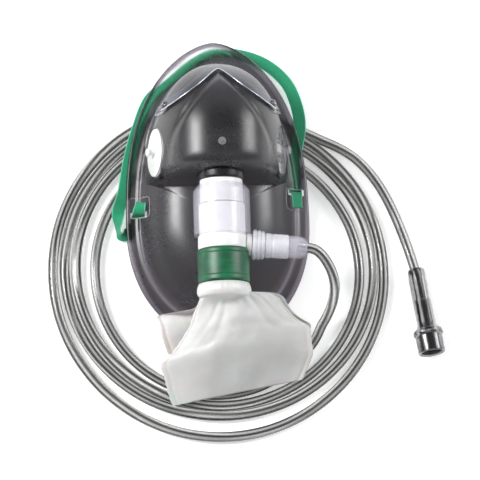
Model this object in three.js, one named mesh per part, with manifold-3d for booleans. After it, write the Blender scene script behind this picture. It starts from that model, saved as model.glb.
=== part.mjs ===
// High-concentration oxygen mask with a folded reservoir bag, lying rim down on its coiled tubing.
// Row frame: millimetres, +Z up, +Y from the chin end to the nose end, +X to the oxygen inlet.
import * as THREE from "three";
import { mergeVertices } from "three/addons/utils/BufferGeometryUtils.js";
import Module from "manifold-3d";

const wasm = await Module();
wasm.setup();

// ---- driving dimensions ------------------------------------------------------------------
const GAP = 0.3; // clearance between neighbouring pieces
const CENTRE = [3.4, -0.5]; // moves the mask's own axis so that the box of the object is centred

const MASK_LENGTH = 158.5;
const HALF_WIDTH = 47.5;
const WIDE_Y = 62; // distance of the widest section from the chin edge
const CHIN_Y = -62.8; // chin edge in the row frame
const TILT = THREE.MathUtils.degToRad(4.5); // the nose end rides on the tubing
const WALL = 1.5;
const FLANGE_INNER = 0.87; // inner edge of the face flange, as a share of the outline
const CHAMBER_HEIGHT = 20;
const DOME_HEIGHT = 56;
const DOME_Y = 100;
const DOME_HALF_WIDTH = 37;
const DOME_FRONT = 23;
const DOME_BACK = 46;

const PORT_Z = 38; // height of the port axis over the rim plane
const VENT_CENTRE = [32, 94, 25.5]; // exhalation port, mirrored for the left side
const VENT_LEAN = THREE.MathUtils.degToRad(16);
const VENT_RADIUS = 12.4;
const FLAP_THICKNESS = 0.6;

const INLET_Y = 43.7;
// The inlet leaves the housing's side here, and leans a little toward the bag.
const STEM_START = 11.8;
const INLET_LEAN = THREE.MathUtils.degToRad(4.5);
const TUBE_RADIUS = 2.6;
const TUBE_SIDES = 10;

const COIL_CENTRE = [-1, -25.2];
const COIL_INNER = 60;
const COIL_OUTER = 89.8;

const STRAP_WIDTH = 6.5;
const STRAP_THICKNESS = 0.6;
const STRAP_SLOT = { x: 40.9, leftY: 66.4, rightY: 76.9, length: 8.4, width: 3.4 };

// ---- materials ---------------------------------------------------------------------------
const paint = (color, roughness, metalness = 0, opacity = 1) =>
  new THREE.MeshStandardMaterial({ color, roughness, metalness, opacity, transparent: opacity < 1 });
const clearVinyl = paint(0x6f6d6e, 0.15, 0, 0.45);
const tubeVinyl = paint(0x9a9a98, 0.2, 0, 0.7);
const clearSleeve = paint(0xc9c6dc, 0.12, 0, 0.5);
const frosted = paint(0xd9dade, 0.45, 0, 0.8);
const whitePlastic = paint(0xf1f1ef, 0.4);
const silicone = paint(0xeeeeea, 0.5);
const greenPlastic = paint(0x0e7a4b, 0.3);
const greenElastic = paint(0x1fa37a, 0.8);
const bagFilm = paint(0xe6e6e4, 0.35);
const aluminium = paint(0xb9bcc0, 0.35, 1);

// ---- solids ------------------------------------------------------------------------------
function toSolid(geometry) {
  const bare = geometry.clone();
  bare.deleteAttribute("normal");
  bare.deleteAttribute("uv");
  const merged = mergeVertices(bare, 1e-5);
  return new wasm.Manifold(
    new wasm.Mesh({
      numProp: 3,
      vertProperties: new Float32Array(merged.attributes.position.array),
      triVerts: new Uint32Array(merged.index.array),
    })
  );
}

function toGeometry(solid) {
  const mesh = solid.getMesh();
  const geometry = new THREE.BufferGeometry();
  geometry.setAttribute("position", new THREE.BufferAttribute(new Float32Array(mesh.vertProperties), 3));
  geometry.setIndex(Array.from(mesh.triVerts));
  geometry.computeVertexNormals();
  return geometry;
}

function cut(geometry, tools) {
  let solid = toSolid(geometry);
  for (const tool of tools) solid = solid.subtract(toSolid(tool));
  return toGeometry(solid);
}

// Revolves [radius, height] pairs about the Y axis; the outer wall is listed upwards.
function revolve(profile, sides = 32) {
  const points = profile.map(([radius, height]) => new THREE.Vector2(radius, height));
  return new THREE.LatheGeometry(points, sides);
}

function tubeBetween(outer, inner, low, high, sides = 32) {
  const profile = [[outer, low], [outer, high], [inner, high], [inner, low], [outer, low]];
  return revolve(profile, sides);
}

// A closed quad grid: rows of points round a section, with a fan over each end.
function gridMesh(rows, columns, pointAt) {
  const positions = [];
  for (let row = 0; row < rows; row++)
    for (let column = 0; column < columns; column++) positions.push(...pointAt(row, column));
  const index = [];
  for (let row = 0; row + 1 < rows; row++)
    for (let column = 0; column < columns; column++) {
      const a = row * columns + column;
      const b = row * columns + ((column + 1) % columns);
      const c = a + columns;
      const d = b + columns;
      index.push(a, d, b, a, c, d);
    }
  const end = (rows - 1) * columns;
  for (let column = 1; column + 1 < columns; column++)
    index.push(0, column, column + 1, end, end + column + 1, end + column);
  const geometry = new THREE.BufferGeometry();
  geometry.setAttribute("position", new THREE.Float32BufferAttribute(positions, 3));
  geometry.setIndex(index);
  return geometry;
}

// A flat band of rectangular section along a route; faceAt gives the normal of its flat side.
function band(points, width, thickness, steps, faceAt) {
  const route = new THREE.CatmullRomCurve3(points, false, "centripetal");
  const corners = [[-1, -1], [1, -1], [1, 1], [-1, 1]];
  const pointAt = (row, column) => {
    const t = row / steps;
    const centre = route.getPoint(t);
    const along = route.getTangent(t).normalize();
    const across = new THREE.Vector3().crossVectors(along, faceAt(centre, along, t)).normalize();
    const face = new THREE.Vector3().crossVectors(across, along);
    const [side, height] = corners[column];
    centre.addScaledVector(across, (side * width) / 2).addScaledVector(face, (height * thickness) / 2);
    return centre.toArray();
  };
  return gridMesh(steps + 1, corners.length, pointAt);
}

function tubeAlong(points, steps) {
  const section = new THREE.Shape();
  section.absarc(0, 0, TUBE_RADIUS, 0, 2 * Math.PI);
  const extrudePath = new THREE.CatmullRomCurve3(points.map((point) => new THREE.Vector3(...point)));
  return new THREE.ExtrudeGeometry(section, { steps, curveSegments: TUBE_SIDES, extrudePath });
}

// ---- mask shell --------------------------------------------------------------------------
function halfWidthAt(y) {
  if (y <= 0 || y >= MASK_LENGTH) return 0;
  if (y < WIDE_Y) return HALF_WIDTH * Math.sqrt(1 - ((WIDE_Y - y) / WIDE_Y) ** 2.2);
  return HALF_WIDTH * (1 - ((y - WIDE_Y) / (MASK_LENGTH - WIDE_Y)) ** 2.6) ** 0.6;
}

// Distance from the widest section's middle to the outline, in the direction of the angle.
function rimRadius(angle) {
  let inside = 0;
  let outside = MASK_LENGTH;
  for (let round = 0; round < 40; round++) {
    const middle = (inside + outside) / 2;
    const reach = halfWidthAt(WIDE_Y + middle * Math.cos(angle));
    if (Math.abs(middle * Math.sin(angle)) < reach) inside = middle;
    else outside = middle;
  }
  return inside;
}

// Height of the moulded shape over the flange; inset moves it inwards for the inner face.
function shellHeight(x, y, share, inset) {
  const edge = FLANGE_INNER - inset / 100;
  const chamber = (CHAMBER_HEIGHT - inset) * Math.max(0, 1 - (share / edge) ** 4) ** 1.5;
  const front = y < DOME_Y;
  const along = (front ? (DOME_Y - y) / (DOME_FRONT - inset) : (y - DOME_Y) / (DOME_BACK - inset));
  const across = Math.abs(x) / (DOME_HALF_WIDTH - inset);
  const fall = across ** 2.6 + along ** (front ? 10 : 2.4);
  const flank = THREE.MathUtils.smoothstep(edge + 0.02 - share, 0, 0.09);
  const dome = (DOME_HEIGHT - inset) * Math.max(0, 1 - fall) ** 0.625 * flank;
  return (chamber ** 6 + dome ** 6) ** (1 / 6);
}

// Reach of one ring of the shell's grid. Rings crowd where a ray crosses the dome's front wall.
function ringReach(angle, ring) {
  const rim = rimRadius(angle);
  const wallRun = DOME_Y - DOME_FRONT - WIDE_Y;
  const crossesWall = Math.cos(angle) > 0
    && (wallRun + WALL_RINGS[0]) * Math.tan(Math.abs(angle)) < DOME_HALF_WIDTH - 3;
  if (!crossesWall || ring < FLANGE_RINGS) return rim * RING_SHARES[ring];
  const firstInside = DOME_RINGS + WALL_RINGS.length;
  const innerRings = RING_SHARES.length - firstInside;
  const wallTop = (wallRun + WALL_RINGS[0]) / Math.cos(angle);
  const overDome = (ring - FLANGE_RINGS + 1) / (DOME_RINGS - FLANGE_RINGS + 1);
  if (ring < DOME_RINGS) return THREE.MathUtils.lerp(rim * FLANGE_INNER, wallTop, overDome);
  if (ring < firstInside) return (wallRun + WALL_RINGS[ring - DOME_RINGS]) / Math.cos(angle);
  return (wallRun / Math.cos(angle)) * (1 - (ring - firstInside + 1) / (innerRings + 1));
}

const FLANGE_RINGS = 3; // rings on the flat flange
const DOME_RINGS = 8; // rings from the rim to the top of the dome's front wall
const WALL_RINGS = [7, 4.6, 3, 1.6, 0.2]; // places of the wall's own rings behind its foot

const RING_SHARES = [
  1, 0.94, 0.87, 0.8, 0.73, 0.66, 0.59, 0.52, 0.45, 0.39, 0.33, 0.28, 0.235, 0.2, 0.17, 0.12];

function maskShell() {
  const angles = 48;
  const positions = [];
  const addSurface = (inset) => {
    for (let ring = 0; ring < RING_SHARES.length; ring++)
      for (let step = 0; step < angles; step++) {
        const angle = (step / angles) * 2 * Math.PI;
        const turn = angle > Math.PI ? angle - 2 * Math.PI : angle;
        const reach = ringReach(turn, ring);
        const x = reach * Math.sin(angle);
        const y = WIDE_Y + reach * Math.cos(angle);
        const height = shellHeight(x, y, reach / rimRadius(angle), inset);
        positions.push(x, y, height + (inset ? 0 : WALL));
      }
    positions.push(0, WIDE_Y, shellHeight(0, WIDE_Y, 0, inset) + (inset ? 0 : WALL));
  };
  addSurface(0);
  addSurface(WALL);
  const perSurface = angles * RING_SHARES.length + 1;
  const index = [];
  const next = (step) => (step + 1) % angles;
  for (let ring = 0; ring + 1 < RING_SHARES.length; ring++)
    for (let step = 0; step < angles; step++) {
      const a = ring * angles + step;
      const b = ring * angles + next(step);
      const c = a + angles;
      const d = b + angles;
      index.push(a, d, b, a, c, d);
      index.push(a + perSurface, b + perSurface, d + perSurface, a + perSurface, d + perSurface, c + perSurface);
    }
  const lastRing = (RING_SHARES.length - 1) * angles;
  const centre = perSurface - 1;
  for (let step = 0; step < angles; step++) {
    const a = lastRing + step;
    const b = lastRing + next(step);
    index.push(a, centre, b, a + perSurface, b + perSurface, centre + perSurface);
    index.push(step, next(step), next(step) + perSurface, step, next(step) + perSurface, step + perSurface);
  }
  const shell = new THREE.BufferGeometry();
  shell.setAttribute("position", new THREE.Float32BufferAttribute(positions, 3));
  shell.setIndex(index);

  const port = new THREE.CylinderGeometry(NECK_OUTER + GAP, NECK_OUTER + GAP, 30, 32);
  port.translate(0, 82, PORT_Z);
  const tools = [port];
  for (const side of [-1, 1]) {
    const vent = new THREE.CylinderGeometry(VENT_RADIUS + GAP, VENT_RADIUS + GAP, 16, 32);
    vent.applyMatrix4(ventPlacement(side));
    tools.push(vent);
    const slot = new THREE.BoxGeometry(STRAP_SLOT.length, STRAP_SLOT.width, 20);
    slot.translate(side * STRAP_SLOT.x, side < 0 ? STRAP_SLOT.leftY : STRAP_SLOT.rightY, 4);
    tools.push(slot);
  }
  return cut(shell, tools);
}

// Puts a piece made about +Y onto the exhalation port of one side, facing out.
function ventPlacement(side) {
  const [x, y, z] = VENT_CENTRE;
  const outward = new THREE.Vector3(side * Math.cos(VENT_LEAN), 0, Math.sin(VENT_LEAN));
  const turn = new THREE.Quaternion().setFromUnitVectors(new THREE.Vector3(0, 1, 0), outward);
  return new THREE.Matrix4().compose(new THREE.Vector3(side * x, y, z), turn, new THREE.Vector3(1, 1, 1));
}

function ventHoles({ count, ring, radius }) {
  const holes = [];
  for (let number = 0; number < count; number++) {
    const angle = (number / count) * 2 * Math.PI;
    const hole = new THREE.CylinderGeometry(radius, radius, 10, 10);
    hole.translate(ring * Math.cos(angle), 0, ring * Math.sin(angle));
    holes.push(hole);
  }
  return holes;
}

// A disc with vent holes and a headed post that holds a flap.
function valveSeat(radius, thickness, postRadius, postHeight, headRadius, holes) {
  const headTop = postHeight + 0.9;
  const profile = [[0, -thickness], [radius, -thickness], [radius, 0], [postRadius, 0],
    [postRadius, postHeight], [headRadius, postHeight], [headRadius * 0.75, headTop], [0, headTop]];
  return cut(revolve(profile), ventHoles(holes));
}

// ---- nose clip ---------------------------------------------------------------------------
const CLIP_HALF_SPAN = 29;
const CLIP_BASE_Y = 112.4; // the clip's arms run towards this line
const CLIP_RISE = 21.1; // its apex lies this far in front of that line
const CLIP_RUN = 12; // distance from the apex over which the arms fall back
const CLIP_LIFT = 0.95; // middle of the strip over the shell
const CLIP_STUD = [26.4, 115.2];

function noseClip() {
  const spread = (x) => Math.hypot(x, 4) - 4;
  const points = [];
  for (let step = -8; step <= 8; step++) {
    const x = (step / 8) * CLIP_HALF_SPAN;
    const y = CLIP_BASE_Y + CLIP_RISE * Math.exp(-((spread(x) / CLIP_RUN) ** 1.1));
    const point = new THREE.Vector3(x, y, maskTopAt(x, y));
    points.push(point.addScaledVector(maskNormalAt(x, y), CLIP_LIFT));
  }
  return band(points, 5, 0.7, 32, (centre) => maskNormalAt(centre.x, centre.y));
}

function maskNormalAt(x, y) {
  const reach = 2.5;
  const slopeX = (maskTopAt(x + reach, y) - maskTopAt(x - reach, y)) / (2 * reach);
  const slopeY = (maskTopAt(x, y + reach) - maskTopAt(x, y - reach)) / (2 * reach);
  return new THREE.Vector3(-slopeX, -slopeY, 1).normalize();
}

// Outer height of the shell over the rim plane at a point.
function maskTopAt(x, y) {
  const share = Math.hypot(x, y - WIDE_Y) / rimRadius(Math.atan2(x, y - WIDE_Y));
  return shellHeight(x, y, share, 0) + WALL;
}

// ---- valve, port and inlet ---------------------------------------------------------------
const NECK_OUTER = 10.7;
const SLEEVE = { outer: 14.2, inner: 11.9, low: 48.4, high: 73.5 };
const HOUSING = { outer: 11.5, inner: 9.4, high: 63.8, step: 41.2, low: 19, stemRadius: 10.2, bore: 8.6 };
const BAND = { outer: 12.9, inner: 10.5, low: 24.4, high: 40.9 };
const COLLAR = { outer: 13.2, inner: 10.5, low: 18.3, high: 24.1 };
const INHALE_SEAT_TOP = 61;

function portNeck() {
  const bore = 9.1;
  return revolve([[bore, 64.5], [NECK_OUTER, 64.5], [NECK_OUTER, 84], [12, 84], [12, 85.4], [bore, 85.4],
    [bore, 64.5]], 40);
}

function portSleeve() {
  const { outer, inner, low, high } = SLEEVE;
  const lip = NECK_OUTER + GAP;
  return revolve([[inner, low], [outer, low], [outer, high - 1], [outer - 0.8, high], [lip, high],
    [lip, high - 2], [inner, high - 2], [inner, low]], 40);
}

function valveHousing() {
  const { outer, inner, high, step, low, stemRadius, bore } = HOUSING;
  const body = revolve([[bore, low], [stemRadius, low], [stemRadius, step], [outer, step], [outer, high],
    [inner, high], [inner, step + 2], [bore, step], [bore, low]], 40);
  const drilling = new THREE.CylinderGeometry(1.8, 1.8, 8, 16);
  drilling.rotateZ(Math.PI / 2).translate(outer, INLET_Y, 0);
  return cut(body, [drilling]);
}

function inletCollar() {
  // Three rounded ribs make the grip of the swivel nut.
  const bore = 3.6;
  const profile = [[bore, 15], [6.4, 15]];
  for (let rib = 0; rib < 3; rib++) {
    const start = 15.2 + rib * 1.9;
    profile.push([7.6, start + 0.3], [7.6, start + 1.1], [6.6, start + 1.5]);
  }
  profile.push([6.6, 20.8], [bore, 20.8], [bore, 15]);
  return revolve(profile, 28);
}

function inletBarrel() {
  return revolve([[3.6, 21.1], [5.6, 21.1], [6, 21.8], [6, 32.4], [5.5, 33.2], [3.6, 33.2], [3.6, 21.1]], 28);
}

function inletSocket() {
  return revolve([[2, 33.5], [5.2, 33.5], [4.9, 38], [4.9, 39.2], [4.1, 41.6], [2, 41.6], [2, 33.5]], 28);
}

// ---- strap, bag, tubing ------------------------------------------------------------------
// Row-frame height of the rim plane.
const rimPlane = (y) => (y - CHIN_Y) * Math.tan(TILT);

// The strap's middle line, then the heading and the rise of its width, both in degrees.
const STRAP_ROUTE = [
  [-39.6, 9.6, 11.3, 180, -35],
  [-40.2, 6.6, 10.7, 180, -34],
  [-40.8, 4.1, 8.8, 180, -20],
  [-41.1, 3.1, 5.6, 180, -8],
  [-42.2, 0.8, 3.2, 168, 0],
  [-44.4, -3.4, 2.7, 150, 5],
  [-47.2, -5.9, 3.3, 122, 30],
  [-50.4, -6.4, 4.6, 85, 60],
  [-51.6, -3.4, 5.6, 40, 68],
  [-51.5, 0.4, 6.9, 12, 40],
  [-51.4, 4.4, 6.45, 0, 4],
  [-51.1, 7.2, 6.05, -2, -6],
  [-50.2, 10.0, 5.8, -4, -11],
  [-48.7, 14.6, 5.9, -7, -6],
  [-47.5, 20.2, 5.85, -10, -2],
  [-44.9, 34.1, 6.5, -16, 0],
  [-40.5, 49.5, 7.0, -24, 0],
  [-33.6, 67.0, 5.4, -42, 12],
  [-22.0, 77.0, 4.2, -50, 8],
  [-10.0, 87.0, 4.4, -60, 10],
  [1.4, 92.6, 5.0, -85, 15],
  [14.0, 91.6, 4.8, -100, 16],
  [25.0, 87.8, 4.2, -114, 6],
  [33.6, 81.6, 4.0, -132, 0],
  [39.8, 73.6, 4.3, -150, 0],
  [43.2, 64.0, 5.0, -168, 0],
  [44.6, 55.0, 6.0, -178, 0],
  [44.2, 47.0, 6.8, -188, 0],
  [42.6, 39.5, 6.9, -196, 0],
  [41.3, 33.0, 6.45, -187, 0],
  [40.9, 27.0, 6.15, -180, 0],
  [40.9, 20.0, 5.9, -180, 0],
  [40.9, 15.6, 5.65, -180, 0],
  [40.9, 13.9, 7.2, -180, 8],
  [40.9, 12.9, 9.9, -180, 22],
  [41.0, 9.6, 11.4, -180, 34],
  [41.2, 4.4, 11.0, -180, 35],
];

function headStrap() {
  const points = STRAP_ROUTE.map(([x, y, z]) => new THREE.Vector3(x, y, z));
  const last = STRAP_ROUTE.length - 1;
  const faceAt = (centre, along, t) => {
    const before = Math.min(Math.floor(t * last), last - 1);
    const [heading, rise] = [3, 4].map((item) => THREE.MathUtils.degToRad(
      THREE.MathUtils.lerp(STRAP_ROUTE[before][item], STRAP_ROUTE[before + 1][item], t * last - before)));
    const across = new THREE.Vector3(
      Math.cos(heading) * Math.cos(rise), Math.sin(heading) * Math.cos(rise), Math.sin(rise));
    return across.cross(along).normalize();
  };
  return band(points, STRAP_WIDTH, STRAP_THICKNESS, last * 4, faceAt);
}

const BAG_THICKNESS = 4;
// Each station of the bag runs from its left edge to its right edge: [x, y, z] of both, and a crown.
const BAG_STATIONS = [
  { left: [-27.5, -52.6, 18], right: [29.0, -49.6, 18], crown: 21.5, thickness: 7 },
  { left: [-31.5, -56.5, 15], right: [38.5, -55.5, 15], crown: 17.5, thickness: 5 },
  { left: [-29.5, -63.0, 13], right: [43.5, -61.5, 13], crown: 12, thickness: BAG_THICKNESS },
  { left: [-28.5, -70.0, 10.5], right: [44.5, -69.0, 10], crown: 8, thickness: BAG_THICKNESS },
  { left: [-30.5, -76.0, 9], right: [44.0, -75.0, 9], crown: 5, thickness: BAG_THICKNESS },
  { left: [-27.8, -86.0, 8], right: [41.5, -80.5, 8], crown: 3, thickness: BAG_THICKNESS },
  { left: [-26.0, -95.0, 7.6], right: [39.2, -84.6, 7.6], crown: 1, thickness: BAG_THICKNESS },
];

function reservoirBag() {
  const across = 12;
  const pointAt = (row, column) => {
    const { left, right, crown, thickness } = BAG_STATIONS[row];
    const top = column <= across;
    const t = top ? column / across : (2 * across + 1 - column) / across;
    const ridge = Math.max(0, 1 - ((t - 0.5) / 0.42) ** 2) ** 1.4;
    const [x, y, z] = [0, 1, 2].map((axis) => THREE.MathUtils.lerp(left[axis], right[axis], t));
    return [x, y, z + crown * ridge + (top ? thickness : -thickness) / 2];
  };
  return gridMesh(BAG_STATIONS.length, 2 * across + 2, pointAt);
}

const LEAD_ROUTE = [
  [41.9, -24.58, 41.12],
  [45.8, -25.3, 40.7],
  [49.4, -27.8, 39.2],
  [52.8, -31.9, 36.0],
  [55.5, -36.7, 31.2],
  [56.8, -41.8, 24.8],
  [56.2, -47.2, 17.2],
  [53.9, -52.6, 10.9],
  [51.4, -56.6, 7.6],
];

const TAIL_ROUTE = [
  [68.6, 37.2, 2.6],
  [74.2, 32.8, 2.6],
  [80.4, 25.8, 2.6],
  [86.0, 17.2, 2.6],
  [90.6, 7.0, 2.6],
  [94.6, -5.0, 2.6],
  [98.0, -18.0, 3.1],
  [100.8, -31.8, 4.5],
];

// The supply connector opens away from the tubing; its flange rests on the table.
const CONNECTOR = { start: [100.9, -32.3, 4.72], heading: -83.6, rise: 5.9 };
function supplyConnector() {
  return revolve([[3.0, 0], [4.5, 0], [4.8, 2], [4.8, 26], [6.2, 28.5], [7.7, 29], [7.7, 31.4], [6.9, 31.8],
    [6.9, 41], [5.6, 41], [5.2, 31], [3.0, 29], [3.0, 0]], 24);
}

function mouthDirection() {
  const [heading, rise] = [CONNECTOR.heading, CONNECTOR.rise].map(THREE.MathUtils.degToRad);
  return new THREE.Vector3(
    Math.cos(heading) * Math.cos(rise), Math.sin(heading) * Math.cos(rise), Math.sin(rise));
}

// ---- assembly ----------------------------------------------------------------------------
const group = new THREE.Group();
const maskFrame = new THREE.Group();
const portFrame = new THREE.Group();
const inletFrame = new THREE.Group();

group.add(maskFrame);
group.position.set(CENTRE[0], CENTRE[1], 0);
maskFrame.position.set(0, CHIN_Y, 0);
maskFrame.rotation.x = TILT;
maskFrame.add(portFrame);
portFrame.position.set(0, 0, PORT_Z);
portFrame.add(inletFrame);
inletFrame.position.set(0, INLET_Y + STEM_START * Math.tan(INLET_LEAN), 0);
inletFrame.rotation.z = -Math.PI / 2 - INLET_LEAN;

function add(parent, name, geometry, material) {
  const mesh = new THREE.Mesh(geometry, material);
  mesh.name = name;
  parent.add(mesh);
  return mesh;
}

add(maskFrame, "mask_shell", maskShell(), clearVinyl);
add(maskFrame, "nose_clip", noseClip(), aluminium);
for (const [name, side] of [["left", -1], ["right", 1]]) {
  const [studX, studY] = [side * CLIP_STUD[0], CLIP_STUD[1]];
  const studFace = maskNormalAt(studX, studY);
  const stud = add(maskFrame, `nose_clip_stud_${name}`,
    revolve([[0, 0], [1.9, 0], [1.5, 1.1], [0, 1.1]], 16), clearVinyl);
  stud.position.set(studX, studY, maskTopAt(studX, studY)).addScaledVector(studFace, CLIP_LIFT + 0.75);
  stud.quaternion.setFromUnitVectors(new THREE.Vector3(0, 1, 0), studFace);
  const seat = valveSeat(VENT_RADIUS, 1.8, 1.3, 2.6, 2.7, { count: 6, ring: 7.2, radius: 2.1 });
  add(maskFrame, `exhalation_port_${name}`, seat, side < 0 ? whitePlastic : clearVinyl)
    .applyMatrix4(ventPlacement(side));
}
const flap = add(maskFrame, "exhalation_flap",
  tubeBetween(12.2, 1.7, GAP, GAP + FLAP_THICKNESS), silicone);
flap.applyMatrix4(ventPlacement(-1));

add(portFrame, "port_neck", portNeck(), whitePlastic);
add(portFrame, "port_sleeve", portSleeve(), clearSleeve);
add(portFrame, "valve_housing", valveHousing(), whitePlastic);
add(portFrame, "inhalation_seat",
  valveSeat(9.1, 1.5, 1.2, 2.4, 2.2, { count: 6, ring: 5.6, radius: 1.8 }), whitePlastic)
  .position.set(0, INHALE_SEAT_TOP, 0);
add(portFrame, "inhalation_flap",
  tubeBetween(8.5, 1.6, GAP, GAP + FLAP_THICKNESS), silicone).position.set(0, INHALE_SEAT_TOP, 0);
add(portFrame, "green_band", tubeBetween(BAND.outer, BAND.inner, BAND.low, BAND.high, 40), greenPlastic);
add(portFrame, "bag_collar",
  tubeBetween(COLLAR.outer, COLLAR.inner, COLLAR.low, COLLAR.high, 40), bagFilm);

add(inletFrame, "inlet_stem", tubeBetween(2.7, 1.8, STEM_START, 24, 20), whitePlastic);
add(inletFrame, "inlet_collar", inletCollar(), frosted);
add(inletFrame, "inlet_barrel", inletBarrel(), frosted);
add(inletFrame, "inlet_socket", inletSocket(), clearSleeve);

add(group, "head_strap", headStrap(), greenElastic);
add(group, "reservoir_bag", reservoirBag(), bagFilm);
add(group, "tubing_lead", tubeAlong(LEAD_ROUTE, 12), tubeVinyl);
add(group, "tubing_tail", tubeAlong(TAIL_ROUTE, 14), tubeVinyl);
const coil = add(group, "tubing_coil",
  tubeBetween(COIL_OUTER, COIL_INNER, 0, 2 * TUBE_RADIUS, 56), tubeVinyl);
coil.rotation.x = Math.PI / 2;
coil.position.set(COIL_CENTRE[0], COIL_CENTRE[1], 0);
const connector = add(group, "supply_connector", supplyConnector(), clearVinyl);
connector.position.set(...CONNECTOR.start);
connector.quaternion.setFromUnitVectors(new THREE.Vector3(0, 1, 0), mouthDirection());

export default group;
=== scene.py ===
import math

import bmesh
import bpy
import numpy as np
from mathutils import Matrix, Vector, noise


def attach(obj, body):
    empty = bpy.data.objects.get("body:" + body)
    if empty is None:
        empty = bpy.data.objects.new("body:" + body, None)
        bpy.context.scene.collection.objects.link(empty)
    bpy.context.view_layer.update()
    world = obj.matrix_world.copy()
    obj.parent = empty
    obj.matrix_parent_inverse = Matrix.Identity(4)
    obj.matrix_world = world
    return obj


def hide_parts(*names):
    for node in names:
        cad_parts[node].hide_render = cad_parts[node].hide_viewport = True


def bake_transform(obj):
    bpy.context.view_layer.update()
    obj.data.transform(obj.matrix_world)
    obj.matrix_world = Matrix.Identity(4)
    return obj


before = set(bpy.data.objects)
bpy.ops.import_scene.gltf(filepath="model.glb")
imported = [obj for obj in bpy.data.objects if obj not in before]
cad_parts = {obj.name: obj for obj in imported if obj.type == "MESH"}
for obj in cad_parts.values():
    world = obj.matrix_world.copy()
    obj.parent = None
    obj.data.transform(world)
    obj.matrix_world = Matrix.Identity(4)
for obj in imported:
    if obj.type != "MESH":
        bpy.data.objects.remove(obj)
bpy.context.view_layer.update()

# ---- frames of the object, in millimetres -----------------------------------------------------
CENTRE = (3.4, -0.5)
CHIN_Y = -62.8
TILT = math.radians(4.5)
PORT_Z = 38
INLET_Y = 43.7
STEM_START = 11.8
INLET_LEAN = math.radians(4.5)

TO_METRES = Matrix.Scale(0.001, 4)
DESIGN = TO_METRES @ Matrix.Translation((*CENTRE, 0))
MASK = DESIGN @ Matrix.Translation((0, CHIN_Y, 0)) @ Matrix.Rotation(TILT, 4, "X")
PORT = MASK @ Matrix.Translation((0, 0, PORT_Z))
INLET = PORT @ Matrix.Translation((0, INLET_Y + STEM_START * math.tan(INLET_LEAN), 0)) \
    @ Matrix.Rotation(-math.pi / 2 - INLET_LEAN, 4, "Z")


def direction(heading, rise):
    """A unit vector at a heading round Z and a rise above the table, in radians."""
    return Vector((math.cos(heading) * math.cos(rise), math.sin(heading) * math.cos(rise), math.sin(rise)))


def facing(outward):
    """The turn that brings the Y axis to a direction."""
    return Vector((0, 1, 0)).rotation_difference(outward).to_matrix().to_4x4()


def vent_frame(side):
    """The frame of an exhalation port, whose Y axis points out of the mask's side."""
    lean = math.radians(16)
    outward = Vector((side * math.cos(lean), 0, math.sin(lean)))
    return MASK @ Matrix.Translation((side * 32, 94, 25.5)) @ facing(outward)


# ---- camera -----------------------------------------------------------------------------------
SENSOR_WIDTH = 36
FOCAL_LENGTH = 146.1


def add_camera():
    azimuth, elevation, roll = (math.radians(a) for a in (-14.61, 74.65, 13.02))
    distance, target = 1.012, Vector((0.0149, -0.0094, 0))
    flat = math.cos(elevation)
    back = Vector((math.sin(azimuth) * flat, -math.cos(azimuth) * flat, math.sin(elevation)))
    right = Vector((0, 0, 1)).cross(back).normalized()
    up = back.cross(right)
    rolled_right = right * math.cos(roll) + up * math.sin(roll)
    rolled_up = up * math.cos(roll) - right * math.sin(roll)
    data = bpy.data.cameras.new("camera")
    data.sensor_width = SENSOR_WIDTH
    data.lens = FOCAL_LENGTH
    data.clip_start = 0.01
    camera = bpy.data.objects.new("camera", data)
    axes = Matrix((rolled_right, rolled_up, back)).transposed().to_4x4()
    camera.matrix_world = Matrix.Translation(target + back * distance) @ axes
    bpy.context.scene.collection.objects.link(camera)
    bpy.context.scene.camera = camera


add_camera()


# ---- materials --------------------------------------------------------------------------------
def tone(code):
    """A colour written as six hex digits, as linear RGBA."""
    parts = [int(code[i:i + 2], 16) / 255 for i in (0, 2, 4)]
    return [p / 12.92 if p <= 0.04045 else ((p + 0.055) / 1.055) ** 2.4 for p in parts] + [1]


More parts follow.
